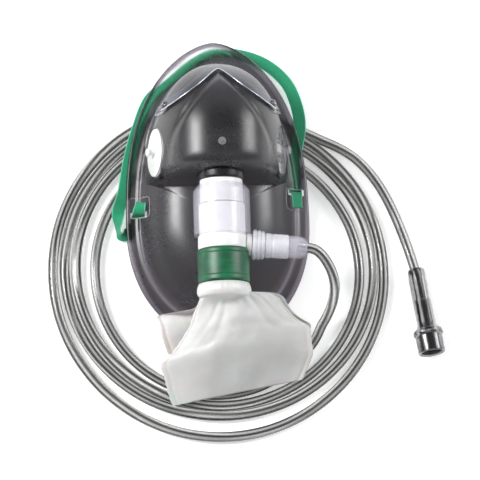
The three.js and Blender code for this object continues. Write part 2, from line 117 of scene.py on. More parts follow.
class Nodes:
    """A material's node tree, with the few nodes that every material here is made of."""

    def __init__(self, name, **sockets):
        self.material = bpy.data.materials.new(name)
        self.material.use_nodes = True
        self.tree = self.material.node_tree
        self.shader = next(n for n in self.tree.nodes if n.type == "BSDF_PRINCIPLED")
        for key, value in sockets.items():
            self.shader.inputs[key.replace("_", " ")].default_value = value
        coordinates = self.tree.nodes.new("ShaderNodeTexCoord")
        self.object = coordinates.outputs["Object"]
        self.uv = coordinates.outputs["UV"]

    def link(self, source, target):
        self.tree.links.new(source, target)

    def node(self, kind, settings=(), **values):
        made = self.tree.nodes.new("ShaderNode" + kind)
        for key, value in dict(settings).items():
            setattr(made, key, value)
        for key, value in values.items():
            socket = made.inputs[key]
            if isinstance(value, bpy.types.NodeSocket):
                self.link(value, socket)
            else:
                socket.default_value = value
        return made

    def noise(self, scale, detail=4.0, roughness=0.55, vector=None, stretch=None):
        vector = vector or self.object
        if stretch:
            mapping = self.node("Mapping", Vector=vector, Scale=stretch)
            vector = mapping.outputs["Vector"]
        made = self.node("TexNoise", Vector=vector, Scale=scale, Detail=detail, Roughness=roughness)
        return made.outputs["Fac"]

    def ramp(self, value, stops):
        """Colours by value: stops are (place, colour)."""
        made = self.node("ValToRGB", Fac=value)
        elements = made.color_ramp.elements
        while len(elements) < len(stops):
            elements.new(0.5)
        for element, (place, colour) in zip(elements, stops):
            element.position = place
            element.color = colour
        return made.outputs["Color"]

    def scaled(self, value, low, high, start=0.0, stop=1.0):
        made = self.node("MapRange", Value=value)
        for socket, number in zip(made.inputs[1:5], (start, stop, low, high)):
            socket.default_value = number
        return made.outputs["Result"]

    def math(self, operation, a, b=None):
        made = self.tree.nodes.new("ShaderNodeMath")
        made.operation = operation
        for socket, value in zip(made.inputs, (a, b)):
            if isinstance(value, bpy.types.NodeSocket):
                self.link(value, socket)
            elif value is not None:
                socket.default_value = value
        return made.outputs[0]

    def colour(self, source):
        self.link(source, self.shader.inputs["Base Color"])

    def roughness(self, source):
        self.link(source, self.shader.inputs["Roughness"])

    def bump(self, *layers):
        """Each layer is (height, distance in metres, strength)."""
        normal = None
        for height, distance, strength in layers:
            made = self.node("Bump", Height=height, Distance=distance, Strength=strength)
            if normal:
                self.link(normal, made.inputs["Normal"])
            normal = made.outputs["Normal"]
        self.link(normal, self.shader.inputs["Normal"])


def moulded(name, dark, light, rough=(0.3, 0.4), grain=900, bump=0.00004, scale=70, **sockets):
    """Moulded plastic: a slow change of colour and gloss under a fine grain."""
    nodes = Nodes(name, **sockets)
    nodes.colour(nodes.ramp(nodes.noise(scale), [(0.35, tone(dark)), (0.65, tone(light))]))
    nodes.roughness(nodes.scaled(nodes.noise(scale * 2.3), *rough, 0.35, 0.65))
    nodes.bump((nodes.noise(grain, 2), bump, 0.5), (nodes.noise(scale), bump * 6, 0.35))
    return nodes.material


def tubing_vinyl():
    """Clear tube with a star bore, which shows as lines along it; the mesh has no bore, and the dark and
    white lines are painted shade and painted highlight of the light it bends.
    """
    nodes = Nodes("tube_vinyl", IOR=1.45, Transmission_Weight=0.72, Coat_Weight=0.3)
    around = nodes.node("SeparateXYZ", Vector=nodes.uv).outputs["X"]
    wander = nodes.noise(0.7, 2, vector=nodes.uv, stretch=(0.0, 1.0, 1.0))
    turned = nodes.math("ADD", around, nodes.math("MULTIPLY", wander, 0.5))
    wave = nodes.math("COSINE", nodes.math("MULTIPLY", turned, 2 * math.pi * 6))
    blur = nodes.noise(1.1, 3, vector=nodes.uv, stretch=(5.0, 1.0, 1.0))
    level = nodes.math("ADD", nodes.scaled(wave, 0.0, 0.75, -1, 1), nodes.math("MULTIPLY", blur, 0.4))
    # The dark and white lines are painted shade and painted highlight, standing for light bent by the star
    # bore.
    nodes.colour(nodes.ramp(level, [
        (0.18, tone("232322")), (0.4, tone("7c7c7a")), (0.64, tone("b6b6b4")), (0.88, tone("f8f8f6"))]))
    nodes.roughness(nodes.scaled(blur, 0.1, 0.28))
    nodes.bump((wave, 0.00025, 0.5), (nodes.noise(600, 2), 0.00002, 0.4))
    return nodes.material


def elastic():
    """Woven elastic: ribs along the band, picks across it, and paler edges that are painted highlights."""
    nodes = Nodes("green_elastic", Sheen_Weight=0.35, Sheen_Roughness=0.5)
    place = nodes.node("SeparateXYZ", Vector=nodes.uv)
    across, along = place.outputs["X"], place.outputs["Y"]
    rib = nodes.math("SINE", nodes.math("MULTIPLY", across, 2 * math.pi * 9))
    pick = nodes.math("SINE", nodes.math("MULTIPLY", along, 2 * math.pi * 1400))
    weave = nodes.math("MULTIPLY", rib, nodes.math("ADD", nodes.math("MULTIPLY", pick, 0.4), 0.6))
    edge = nodes.math("ABSOLUTE", nodes.math("SUBTRACT", across, 0.5))
    fibre = nodes.noise(1500, 3)
    shade = nodes.math("ADD", nodes.scaled(weave, 0.3, 0.6, -1, 1), nodes.math("MULTIPLY", fibre, 0.25))
    body = nodes.ramp(shade, [
        (0.25, tone("04643f")), (0.55, tone("0f9064")), (0.85, tone("1db080"))])
    # Painted highlight: both edges of the band are mixed toward a pale mint.
    mix = nodes.node("Mix", {"data_type": "RGBA"})
    nodes.link(nodes.scaled(edge, 0.0, 0.8, 0.42, 0.47), mix.inputs[0])
    nodes.link(body, mix.inputs[6])
    mix.inputs[7].default_value = tone("7fdcc0")
    nodes.colour(mix.outputs[2])
    nodes.roughness(nodes.scaled(fibre, 0.65, 0.9))
    nodes.bump((weave, 0.00012, 0.7), (fibre, 0.00006, 0.5))
    return nodes.material


def banded_plastic():
    """Glossy green ring with the faint turned lines of its mould."""
    nodes = Nodes("green_plastic", Coat_Weight=0.25, Coat_Roughness=0.35, IOR=1.45)
    slow = nodes.noise(60, 4)
    lines = nodes.noise(500, 3, stretch=(0.02, 1.0, 0.05))
    nodes.colour(nodes.ramp(nodes.math("ADD", slow, nodes.math("MULTIPLY", lines, 0.35)), [
        (0.45, tone("033a24")), (0.65, tone("055535")), (0.85, tone("0d6f46"))]))
    nodes.roughness(nodes.scaled(lines, 0.34, 0.5))
    nodes.bump((lines, 0.00006, 0.5), (slow, 0.0002, 0.2))
    return nodes.material


def bag_film():
    """Thin off-white film with fine wrinkles and a satin face, with painted shade greying its far end."""
    nodes = Nodes("bag_film", Subsurface_Weight=0.25, Subsurface_Scale=0.004, Coat_Weight=0.15)
    cloud = nodes.noise(45, 5)
    crinkle = nodes.noise(160, 5, 0.6, stretch=(1.0, 0.55, 1.0))
    along = nodes.node("SeparateXYZ", Vector=nodes.uv).outputs["Y"]
    # Painted shade: the film turns greyer towards its far end, past 0.6 of the way along.
    far_end_shade = nodes.scaled(nodes.math("ADD", along, nodes.scaled(cloud, -0.05, 0.05)), 0.0, 1.0, 0.6, 0.8)
    mix = nodes.node("Mix", {"data_type": "RGBA"})
    nodes.link(far_end_shade, mix.inputs[0])
    nodes.link(nodes.ramp(cloud, [(0.3, tone("d4d4d2")), (0.6, tone("e4e4e2")), (0.8, tone("eeeeec"))]),
               mix.inputs[6])
    nodes.link(nodes.ramp(cloud, [(0.3, tone("c0c0be")), (0.7, tone("d0d0ce"))]), mix.inputs[7])
    nodes.colour(mix.outputs[2])
    nodes.roughness(nodes.scaled(crinkle, 0.3, 0.5, 0.3, 0.7))
    nodes.bump((cloud, 0.0012, 0.25), (crinkle, 0.0003, 0.35), (nodes.noise(900, 3), 0.00003, 0.4))
    return nodes.material


def brushed_metal(name, dark, light):
    """Metal strip with fine lines along it."""
    nodes = Nodes(name, Metallic=1.0)
    place = nodes.noise(900, 4, 0.6, vector=nodes.uv, stretch=(1.0, 0.03, 1.0))
    nodes.colour(nodes.ramp(place, [(0.3, tone(dark)), (0.7, tone(light))]))
    nodes.roughness(nodes.scaled(place, 0.22, 0.42))
    nodes.bump((place, 0.00005, 0.5), (nodes.noise(40), 0.0004, 0.2))
    return nodes.material


def flow_marks(nodes, roughness):
    """Soft flow marks and haze, in the gloss and the surface of a clear moulding."""
    flow = nodes.noise(26, 4, 0.5)
    haze = nodes.noise(400, 3)
    both = nodes.math("ADD", flow, nodes.math("MULTIPLY", haze, 0.3))
    nodes.roughness(nodes.scaled(both, *roughness, 0.4, 0.9))
    nodes.bump((flow, 0.0009, 0.12), (haze, 0.00002, 0.25))
    return flow


def clear_vinyl():
    """Smoky clear plastic of the small mouldings."""
    nodes = Nodes("clear_vinyl", IOR=1.42, Transmission_Weight=1.0, Coat_Weight=0.5, Coat_Roughness=0.2)
    flow = flow_marks(nodes, (0.05, 0.14))
    nodes.colour(nodes.ramp(flow, [(0.3, tone("929193")), (0.7, tone("b0afb1"))]))
    return nodes.material


def shell_vinyl():
    """The mask's wall: a smoky tint, darkened more over the cavity as painted shade, with a painted highlight
    line on the flange ridge, a paler rim with a painted highlight on its bead, and a painted clear, pale
    window over the strap that lets more light reach it.
    """
    nodes = Nodes("shell_vinyl", IOR=1.42, Transmission_Weight=1.0, Coat_Weight=0.35, Coat_Roughness=0.45)
    flow = flow_marks(nodes, (0.24, 0.36))
    share = nodes.node("Attribute", {"attribute_name": "share"}).outputs["Fac"]
    near = nodes.node("Attribute", {"attribute_name": "strap_light_window"}).outputs["Fac"]
    # Smoky tint, darkest over the cavity as painted shade; the pale band from share 0.84 to 0.885 is a
    # painted highlight on the flange ridge, and the paler rim above 0.972 is a painted highlight on the rim
    # bead.
    tint_and_painted_light = nodes.ramp(nodes.math("ADD", share, nodes.scaled(flow, -0.008, 0.008)), [
        (0.0, tone("504d52")), (0.78, tone("504d52")), (0.84, tone("77727a")), (0.868, tone("a39ea6")),
        (0.885, tone("605b61")), (0.95, tone("5a555c")), (0.972, tone("847d87")), (1.0, tone("746d77"))])
    # Painted light: over the strap the wall is painted pale and made see-through, so more light reaches the
    # strap there.
    mix = nodes.node("Mix", {"data_type": "RGBA"})
    nodes.link(near, mix.inputs[0])
    nodes.link(tint_and_painted_light, mix.inputs[6])
    mix.inputs[7].default_value = tone("dcdade")
    nodes.colour(mix.outputs[2])
    nodes.link(nodes.scaled(near, 1.0, 0.35), nodes.shader.inputs["Alpha"])
    return nodes.material


def clear_cover(name, dark, light, alpha, roughness, scale):
    """Clear cover plastic that lets light through to what it covers."""
    nodes = Nodes(name, IOR=1.45, Alpha=alpha, Coat_Weight=0.6, Coat_Roughness=0.08)
    slow = nodes.noise(scale)
    nodes.colour(nodes.ramp(slow, [(0.35, tone(dark)), (0.65, tone(light))]))
    nodes.roughness(nodes.scaled(nodes.noise(scale * 3), *roughness, 0.35, 0.65))
    nodes.bump((nodes.noise(900, 2), 0.00002, 0.4), (slow, 0.0002, 0.3))
    return nodes.material


SHELL = shell_vinyl()
# A dark see-through liner for the connector's bore: painted shade.
BORE_SHADE = clear_cover("bore_painted_shade", "2c2c2d", "424143", 0.72, (0.2, 0.35), 90)
VINYL = clear_vinyl()
TUBE = tubing_vinyl()
ELASTIC = elastic()
GREEN = banded_plastic()
FILM = bag_film()
# The aluminium is darkened as a painted dark reflection; its paler copy is a painted highlight for the
# strip's edge.
METAL = brushed_metal("aluminium", "4b4d54", "7b7e85")
ALUMINIUM_HIGHLIGHT = brushed_metal("aluminium_edge_highlight", "c9cbd0", "eceef0")
WHITE = moulded("white_plastic", "e6e6e4", "f6f6f5", (0.28, 0.4), Coat_Weight=0.2,
                Subsurface_Weight=0.12, Subsurface_Scale=0.002)
SILICONE = moulded("silicone", "cdcdca", "dfdfdc", (0.4, 0.52), Subsurface_Weight=0.3,
                   Subsurface_Scale=0.002)
SLEEVE_CLEAR = clear_cover("clear_sleeve", "e2deee", "f1eff8", 0.27, (0.1, 0.2), 60)
SEAT_CLEAR = clear_cover("clear_seat", "d8d7de", "f2f2f6", 0.22, (0.1, 0.2), 60)
FROSTED = clear_cover("frosted_plastic", "e2e2ec", "f7f7fb", 0.6, (0.18, 0.34), 150)


# ---- mesh helpers -----------------------------------------------------------------------------
def make_mesh(name, points, faces, matrix, material, uvs=None, smooth=35):
    """A mesh object from points in the matrix's frame; uvs are per point."""
    mesh = bpy.data.meshes.new(name)
    mesh.from_pydata([matrix @ Vector(p) for p in points], [], faces)
    if matrix.to_3x3().determinant() < 0:
        mesh.flip_normals()
    if uvs is not None:
        layer = mesh.uv_layers.new(name="UVMap")
        for loop in mesh.loops:
            layer.data[loop.index].uv = uvs[loop.vertex_index]
    mesh.shade_smooth()
    if smooth < 180:
        mesh.set_sharp_from_angle(angle=math.radians(smooth))
    mesh.materials.append(material)
    made = bpy.data.objects.new(name, mesh)
    bpy.context.scene.collection.objects.link(made)
    return made


def finished(piece, body, slot, *nodes):
    """Puts a piece on its body, in place of its CAD nodes; its slot is not used."""
    if body:
        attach(piece, body)
    if nodes:
        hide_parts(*nodes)
    return piece


def rounded(profile, radius=0.35, steps=4, closed=True):
    """The profile with its corners rounded, except the ends of an open one."""
    count = len(profile)
    result = []
    for i, corner in enumerate(profile):
        if not closed and i in (0, count - 1):
            result.append(tuple(corner))
            continue
        here = Vector(corner)
        before, after = Vector(profile[i - 1]) - here, Vector(profile[(i + 1) % count]) - here
        reach = min(radius, 0.45 * before.length, 0.45 * after.length)
        start, end = here + before.normalized() * reach, here + after.normalized() * reach
        for step in range(steps + 1):
            t = step / steps
            result.append(tuple(start * (1 - t) ** 2 + here * 2 * t * (1 - t) + end * t * t))
    return result


def lathe(name, profile, matrix, material, radius=0.35, segments=72, closed=True, ripple=None):
    """Revolves (radius, height) pairs about Y. ripple(angle, radius, height) moves the radius."""
    outline = rounded(profile, radius, closed=closed)
    points, uvs, faces = [], [], []
    count = len(outline)
    for step in range(segments):
        angle = 2 * math.pi * step / segments
        for i, (r, height) in enumerate(outline):
            if ripple and r > 0.01:
                r = r + ripple(angle, r, height)
            points.append((r * math.sin(angle), height, r * math.cos(angle)))
            uvs.append((step / segments, i / count))
    last = count if closed else count - 1
    for step in range(segments):
        for i in range(last):
            a, b = step * count + i, step * count + (i + 1) % count
            c, d = (a + count) % len(points), (b + count) % len(points)
            faces.append((a, c, d, b))
    piece = make_mesh(name, points, faces, matrix, material, uvs)
    weld(piece)
    return piece


def weld(piece, distance=1e-6):
    """Merges points that coincide, drops flat faces and turns all faces outward."""
    work = bmesh.new()
    work.from_mesh(piece.data)
    bmesh.ops.remove_doubles(work, verts=work.verts, dist=distance)
    bmesh.ops.dissolve_degenerate(work, edges=work.edges, dist=distance)
    bmesh.ops.recalc_face_normals(work, faces=work.faces)
    work.to_mesh(piece.data)
    work.free()
    piece.data.shade_smooth()
    piece.data.set_sharp_from_angle(angle=math.radians(35))


def bake_modifiers(piece):
    """Applies the piece's modifiers to its mesh."""
    graph = bpy.context.evaluated_depsgraph_get()
    piece.data = bpy.data.meshes.new_from_object(piece.evaluated_get(graph), depsgraph=graph)
    piece.modifiers.clear()
    piece.data.name = piece.name


def subtract(piece, cutters):
    """Cuts the cutters out of the piece, and removes them."""
    for cutter in cutters:
        modifier = piece.modifiers.new("cut", "BOOLEAN")
        modifier.operation = "DIFFERENCE"
        modifier.solver = "EXACT"
        modifier.object = cutter
    bpy.context.view_layer.update()
    bake_modifiers(piece)
    for cutter in cutters:
        bpy.data.objects.remove(cutter)
    piece.data.shade_smooth()
    piece.data.set_sharp_from_angle(angle=math.radians(35))


def cylinder(radius, low, high, matrix, segments=48):
    return lathe("cutter", [(0, low), (radius, low), (radius, high), (0, high)], matrix, WHITE,
                 radius=0.001, segments=segments, closed=False)


def ribbon(name, rows, uvs, matrix, material):
    """A closed tube of sections, one row of points for each, with capped ends."""
    columns = len(rows[0])
    points = [p for row in rows for p in row]
    faces = []
    for r in range(len(rows) - 1):
        for c in range(columns):
            a, b = r * columns + c, r * columns + (c + 1) % columns
            faces.append((a, b, b + columns, a + columns))
    faces.append(tuple(reversed(range(columns))))
    faces.append(tuple(range((len(rows) - 1) * columns, len(rows) * columns)))
    return make_mesh(name, points, faces, matrix, material, uvs)


def between(a, b, c, d, t):
    """The Catmull-Rom curve from b to c at t, with a before and d after them."""
    return 0.5 * (2 * b + (c - a) * t + (2 * a - 5 * b + 4 * c - d) * t * t
                  + (3 * b - a - 3 * c + d) * t ** 3)


def extended(keys):
    """The rows of keys with one more at each end, for the curve's first and last stretch."""
    return np.vstack([2 * keys[0] - keys[1], keys, 2 * keys[-1] - keys[-2]])


def smooth_through(keys, count):
    """Points on a Catmull-Rom curve through the rows of keys, evenly spread along it."""
    keys = np.array(keys, float)
    padded = extended(keys)
    fine = []
    for i in range(len(keys) - 1):
        for t in np.linspace(0, 1, 40, endpoint=False):
            fine.append(between(*padded[i:i + 4], t))
    fine = np.array(fine + [keys[-1]])
    run = np.concatenate([[0], np.cumsum(np.linalg.norm(np.diff(fine[:, :3], axis=0), axis=1))])
    places = np.linspace(0, run[-1], count)
    return np.stack([np.interp(places, run, fine[:, k]) for k in range(fine.shape[1])], 1)


# ---- tubing -----------------------------------------------------------------------------------
TUBE_RADIUS = 2.6
COIL_CENTRE = (-1, -25.2)
LEAD = [(37.1, -24.2, 41.15), (41.9, -24.58, 41.12), (45.8, -25.3, 40.7), (49.4, -27.8, 39.2),
        (52.8, -31.9, 36.0), (55.5, -36.7, 31.2), (56.8, -41.8, 24.8), (56.2, -47.2, 17.2),
        (53.9, -52.6, 10.9), (51.4, -56.6, 7.6)]
TAIL = [(56.5, 43.6, 2.6), (62.8, 40.6, 2.6), (68.6, 37.2, 2.6), (74.2, 32.8, 2.6), (80.4, 25.8, 2.6),
        (86.0, 17.2, 2.6), (90.8, 7.0, 2.6), (95.2, -5.0, 2.6), (99.1, -18.0, 3.1), (102.2, -31.8, 4.6),
        (102.9, -38.2, 5.3), (103.6, -44.2, 5.95)]
# Radius of the coil at each quarter turn, from the bottom of the first turn and clockwise.
QUARTERS = [65.5, 62.8, 67, 73.6, 71, 72.5, 77, 81, 76.3, 78.5, 82.3, 86.3, 87, 84.5, 87.6]


def coil_route():
    """The coil's turns lie side by side on the table, each outside the one before."""
    angles = [-40.2] + [-90 - 90 * i for i in range(len(QUARTERS))] + [-1371.0]
    radii = [62.1] + QUARTERS + [88.0]
    keys = np.stack([angles, radii], 1)
    route = []
    padded = extended(keys)
    for i in range(len(keys) - 1):
        start, stop = padded[i + 1, 0], padded[i + 2, 0]
        pieces = 6 if i else 3
        for t in np.linspace(0, 1, pieces, endpoint=False):
            radius = between(*padded[i:i + 4, 1], t)
            turn = math.radians(start + (stop - start) * t)
            route.append((COIL_CENTRE[0] + radius * math.cos(turn),
                          COIL_CENTRE[1] + radius * math.sin(turn), TUBE_RADIUS))
    return route


def add_tubing():
    sides = 20
    route = smooth_through(LEAD + coil_route() + TAIL, 900)
    tangents = np.gradient(route, axis=0)
    tangents /= np.linalg.norm(tangents, axis=1)[:, None]
    normal = np.array([0.0, 0, 1])
    points, uvs, run = [], [], 0.0
    for i, (centre, along) in enumerate(zip(route, tangents)):
        normal = normal - along * (normal @ along)
        normal /= np.linalg.norm(normal)
        side = np.cross(along, normal)
        if i:
            run += np.linalg.norm(centre - route[i - 1])
        for s in range(sides):
            angle = 2 * math.pi * s / sides
            points.append(centre + TUBE_RADIUS * (normal * math.cos(angle) + side * math.sin(angle)))
            uvs.append((s / sides, run / 100))
    faces = []
    for i in range(len(route) - 1):
        for s in range(sides):
            a, b = i * sides + s, i * sides + (s + 1) % sides
            faces.append((a, b, b + sides, a + sides))
    faces.append(tuple(reversed(range(sides))))
    faces.append(tuple(range((len(route) - 1) * sides, len(route) * sides)))
    piece = make_mesh("tubing", points, faces, DESIGN, TUBE, smooth=60)
    layer = piece.data.uv_layers.new(name="UVMap")
    for face in piece.data.polygons:
        for loop in face.loop_indices:
            vertex = piece.data.loops[loop].vertex_index
            u, v = uvs[vertex]
            wraps = len(face.vertices) == 4 and max(k % sides for k in face.vertices) == sides - 1 \
                and min(k % sides for k in face.vertices) == 0
            layer.data[loop].uv = (1.0 if wraps and vertex % sides == 0 else u, v)
    return piece, [DESIGN @ Vector(p) for p in route[::2]]


tubing, tube_path = add_tubing()
mouth = direction(math.radians(-83.6), math.radians(5.9))
CONNECTOR = DESIGN @ Matrix.Translation((102.3, -32.3, 4.72)) @ facing(mouth)
connector = lathe(
    "connector",
    [(2.7, -4.6), (4.0, -4.6), (4.5, -3.6), (4.75, 0), (4.85, 26), (6.1, 28.4), (7.6, 29.0), (7.7, 31.2),
     (6.95, 31.9), (6.9, 41), (5.9, 41), (5.4, 31), (3.9, 29.4), (3.7, 24), (3.6, 12.9), (2.7, 12.6)],
    CONNECTOR, VINYL, radius=0.5)
finished(connector, "mask", "clear_vinyl", "supply_connector")
# A dark liner inside the bore stands in for the shade down it: painted shade.
bore = lathe(
    "connector_bore_shade",
    [(2.6, 13.4), (3.5, 13.4), (3.6, 24), (3.8, 29.3), (5.3, 31.2), (5.78, 40.3), (5.3, 40.3), (4.8, 31.6),
     (3.2, 29.6), (2.8, 24)], CONNECTOR, BORE_SHADE, radius=0.2)
finished(bore, "mask", "clear_vinyl")
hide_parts("tubing_lead", "tubing_coil", "tubing_tail")
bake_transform(tubing)


# ---- mask shell -------------------------------------------------------------------------------
MASK_LENGTH, HALF_WIDTH, WIDE_Y, WALL = 158.5, 47.5, 62.0, 1.5
FLANGE_INNER = 0.87


def half_width(y):
    """Half the mask's width, round at the chin and drawn in toward the nose."""
    y = np.asarray(y, float)
    chin = HALF_WIDTH * np.sqrt(np.clip(1 - (np.clip(WIDE_Y - y, 0, None) / WIDE_Y) ** 2.2, 0, 1))
    reach = np.clip(y - WIDE_Y, 0, None) / (MASK_LENGTH - WIDE_Y)
    nose = HALF_WIDTH * np.clip(1 - reach ** 2.6, 0, 1) ** 0.6
    return np.where(y < WIDE_Y, chin, nose) * ((y > 0) & (y < MASK_LENGTH))


def rim_radius(angle):
    """Distance from the middle to the rim at each angle, found by halving."""
    low, high = np.zeros_like(angle), np.full_like(angle, MASK_LENGTH)
    for _ in range(44):
        middle = (low + high) / 2
        inside = np.abs(middle * np.sin(angle)) < half_width(WIDE_Y + middle * np.cos(angle))
        low, high = np.where(inside, middle, low), np.where(inside, high, middle)
    return low


def shell_height(x, y, share, inset=0.0):
    """Height of the low chamber and the dome above the rim, where share is 0 in the middle and 1 there."""
    edge = FLANGE_INNER - inset / 100
    chamber = (20 - inset) * np.clip(1 - (share / edge) ** 4, 0, None) ** 1.5
    front = y < 100
    along = np.where(front, (100 - y) / (23 - inset), (y - 100) / (46 - inset)).clip(0)
    across = np.abs(x) / (37 - inset)
    fall = across ** 2.6 + np.where(front, along ** 10, along ** 2.4)
    rise = np.clip((edge + 0.02 - share) / 0.09, 0, 1)
    dome = (56 - inset) * np.clip(1 - fall, 0, None) ** 0.625 * rise * rise * (3 - 2 * rise)
    return (chamber ** 6 + dome ** 6) ** (1 / 6)


def mask_top(x, y):
    """Outer height over the rim plane."""
    x, y = np.float64(x), np.float64(y)
    share = np.hypot(x, y - WIDE_Y) / rim_radius(np.arctan2(x, y - WIDE_Y))
    return float(shell_height(x, y, share)) + WALL


def mask_normal(x, y):
    reach = 2.5
    return Vector((-(mask_top(x + reach, y) - mask_top(x - reach, y)) / (2 * reach),
                   -(mask_top(x, y + reach) - mask_top(x, y - reach)) / (2 * reach), 1)).normalized()


# The strap's middle line, then the heading and the rise of its width, both in degrees.
STRAP = [
    (-39.6, 9.6, 11.3, 180, -35), (-40.2, 6.6, 10.7, 180, -34), (-40.8, 4.1, 8.8, 180, -20),
    (-41.1, 3.1, 5.6, 180, -8), (-42.2, 0.8, 3.2, 168, 0), (-44.4, -3.4, 2.7, 150, 5),
    (-47.2, -5.9, 3.3, 122, 30), (-50.4, -6.4, 4.6, 85, 60), (-51.6, -3.4, 5.6, 40, 68),
    (-51.5, 0.4, 6.9, 12, 40), (-51.4, 4.4, 6.45, 0, 4), (-51.1, 7.2, 6.05, -2, -6),
    (-50.2, 10.0, 5.8, -4, -11), (-48.7, 14.6, 5.9, -7, -6), (-47.5, 20.2, 5.85, -10, -2),
    (-44.9, 34.1, 6.5, -16, 0), (-40.5, 49.5, 7.0, -24, 0), (-33.6, 67.0, 5.4, -42, 12),
    (-22.0, 77.0, 4.2, -50, 8), (-10.0, 87.0, 4.4, -60, 10), (1.4, 92.6, 5.0, -85, 15),
    (14.0, 91.6, 4.8, -100, 16), (25.0, 87.8, 4.2, -114, 6), (33.6, 81.6, 4.0, -132, 0),
    (39.8, 73.6, 4.3, -150, 0), (43.2, 64.0, 5.0, -168, 0), (44.6, 55.0, 6.0, -178, 0),
    (44.2, 47.0, 6.8, -188, 0), (42.6, 39.5, 6.9, -196, 0), (41.3, 33.0, 6.45, -187, 0),
    (40.9, 27.0, 6.15, -180, 0), (40.9, 20.0, 5.9, -180, 0), (40.9, 15.6, 5.65, -180, 0),
    (40.9, 13.9, 7.2, -180, 8), (40.9, 12.9, 9.9, -180, 22), (41.0, 9.6, 11.4, -180, 34),
    (41.2, 4.4, 11.0, -180, 35),
]


# The rows of STRAP between the slots, where the strap lies beside and under the mask.
BESIDE_MASK = slice(8, 34)


def panel(x, y, z):
    """The dome's top is a raised shield with a fine groove round it."""
    taper = np.clip(np.abs(x) + 0.76 * (y - 96.5), 0, None) / 24.9
    place = ((np.abs(x) / 24.6) ** 8 + taper ** 8) ** 0.125
    rise = np.clip((1.06 - place) / 0.1, 0, 1)
    high = np.clip((z - 24) / 8, 0, 1)
    return (1.0 * rise * rise * (3 - 2 * rise) - 0.6 * np.exp(-((place - 1.09) / 0.05) ** 2)) * high


def add_shell():
    """Rings of points run from the rim to the middle, closer together where the wall is steep."""
    angles = np.linspace(0, 2 * math.pi, 264, endpoint=False)
    rings = 100
    rim = rim_radius(angles)
    shares = np.linspace(1, 0, 700)
    reach = rim[:, None] * shares[None, :]
    x = reach * np.sin(angles)[:, None]
    y = WIDE_Y + reach * np.cos(angles)[:, None]
    height = shell_height(x, y, np.broadcast_to(shares, reach.shape))
    step = np.hypot(np.diff(reach, axis=1), np.diff(height, axis=1))
    slope = np.arctan2(np.diff(height, axis=1), -np.diff(reach, axis=1))
    bend = np.abs(np.diff(slope, axis=1, prepend=slope[:, :1]))
    run = np.concatenate([np.zeros((len(angles), 1)), np.cumsum(step + 5 * bend + 0.04, axis=1)], axis=1)
    picked = np.empty((len(angles), rings))
    for i in range(len(angles)):
        edge_rings = np.array([0, 0.5, 1.1, 1.8, 2.6])
        wanted = np.linspace(2.6, run[i, -1], rings - len(edge_rings) + 2)[1:-1]
        wanted = np.concatenate([edge_rings, wanted])[:rings]
        picked[i] = np.interp(wanted, run[i], shares)
    picked[:, 0] = 1.0

    def surface(inset, lift):
        reach = rim[:, None] * picked
        x = reach * np.sin(angles)[:, None]
        y = WIDE_Y + reach * np.cos(angles)[:, None]
        z = shell_height(x, y, picked, inset) + lift
        if not inset:
            from_edge = rim[:, None] * (1 - picked)
            bead = np.sqrt(np.clip(1 - ((from_edge - 1.3) / 1.3) ** 2, 0, 1))
            z = z + 0.9 * bead - 0.45 * np.clip(1 - from_edge / 0.5, 0, 1) + panel(x, y, z)
            z = z + 0.7 * np.exp(-((rim[:, None] * (picked - FLANGE_INNER)) / 0.8) ** 2)
        top = float(shell_height(np.float64(0), np.float64(WIDE_Y), np.float64(0), inset)) + lift
        flat = np.stack([x, y, z], -1).reshape(-1, 3)
        return np.vstack([flat, [[0, WIDE_Y, top]]])

    outer, inner = surface(0.0, WALL), surface(WALL, 0.0)
    per = len(outer)
    count = len(angles)
    faces = []

    def at(i, ring):
        return (i % count) * rings + ring

    for i in range(count):
        for ring in range(rings - 1):
            a, b, c, d = at(i, ring), at(i + 1, ring), at(i + 1, ring + 1), at(i, ring + 1)
            faces.append((a, d, c, b))
            faces.append((a + per, b + per, c + per, d + per))
        a, b = at(i, rings - 1), at(i + 1, rings - 1)
        faces.append((a, per - 1, b))
        faces.append((a + per, b + per, 2 * per - 1))
        faces.append((at(i, 0), at(i + 1, 0), at(i + 1, 0) + per, at(i, 0) + per))
    shell = make_mesh("mask_body", np.vstack([outer, inner]), faces, MASK, SHELL)
    cutters = [cylinder(11.0, 67, 97, PORT)]
    for side in (-1, 1):
        cutters.append(cylinder(12.7, -8, 8, vent_frame(side)))
        slot_y = 66.4 if side < 0 else 76.9
        bpy.ops.mesh.primitive_cube_add(size=1)
        box = bpy.context.object
        box.matrix_world = MASK @ Matrix.Translation((side * 40.9, slot_y, 4)) \
            @ Matrix.Diagonal((8.4, 3.4, 20, 1))
        cutters.append(box)
    subtract(shell, cutters)
    mark_shell(shell)
    return shell


def mark_shell(shell):
    """Gives each point its share of the way to the rim, and how near it is to the strap, which places the
    painted light window over the strap.
    """
    to_mask = MASK.inverted()
    places = np.array([v.co for v in shell.data.vertices]) @ np.array(to_mask.to_3x3()).T \
        + np.array(to_mask.translation)
    x, y = places[:, 0], places[:, 1] - WIDE_Y
    share = np.hypot(x, y) / rim_radius(np.arctan2(x, y))
    strap = np.array(STRAP)[BESIDE_MASK, :2] - (0, CHIN_Y)
    line = np.stack([np.interp(np.linspace(0, len(strap) - 1, 400), range(len(strap)), strap[:, k])
                     for k in (0, 1)], 1)
    gap = np.array([np.hypot(line[:, 0] - px, line[:, 1] - py - WIDE_Y).min() for px, py in zip(x, y)])
    # This nearness places the painted light window over the strap.
    near = np.clip((3.2 - gap) / 1.2, 0, 1) * np.clip((share - 0.8) / 0.03, 0, 1) \
        * np.clip((0.975 - share) / 0.01, 0, 1)
    for name, values in (("share", share), ("strap_light_window", near)):
        attribute = shell.data.attributes.new(name, "FLOAT", "POINT")
        attribute.data.foreach_set("value", values.astype(np.float32))


finished(add_shell(), "mask", "clear_vinyl", "mask_shell")


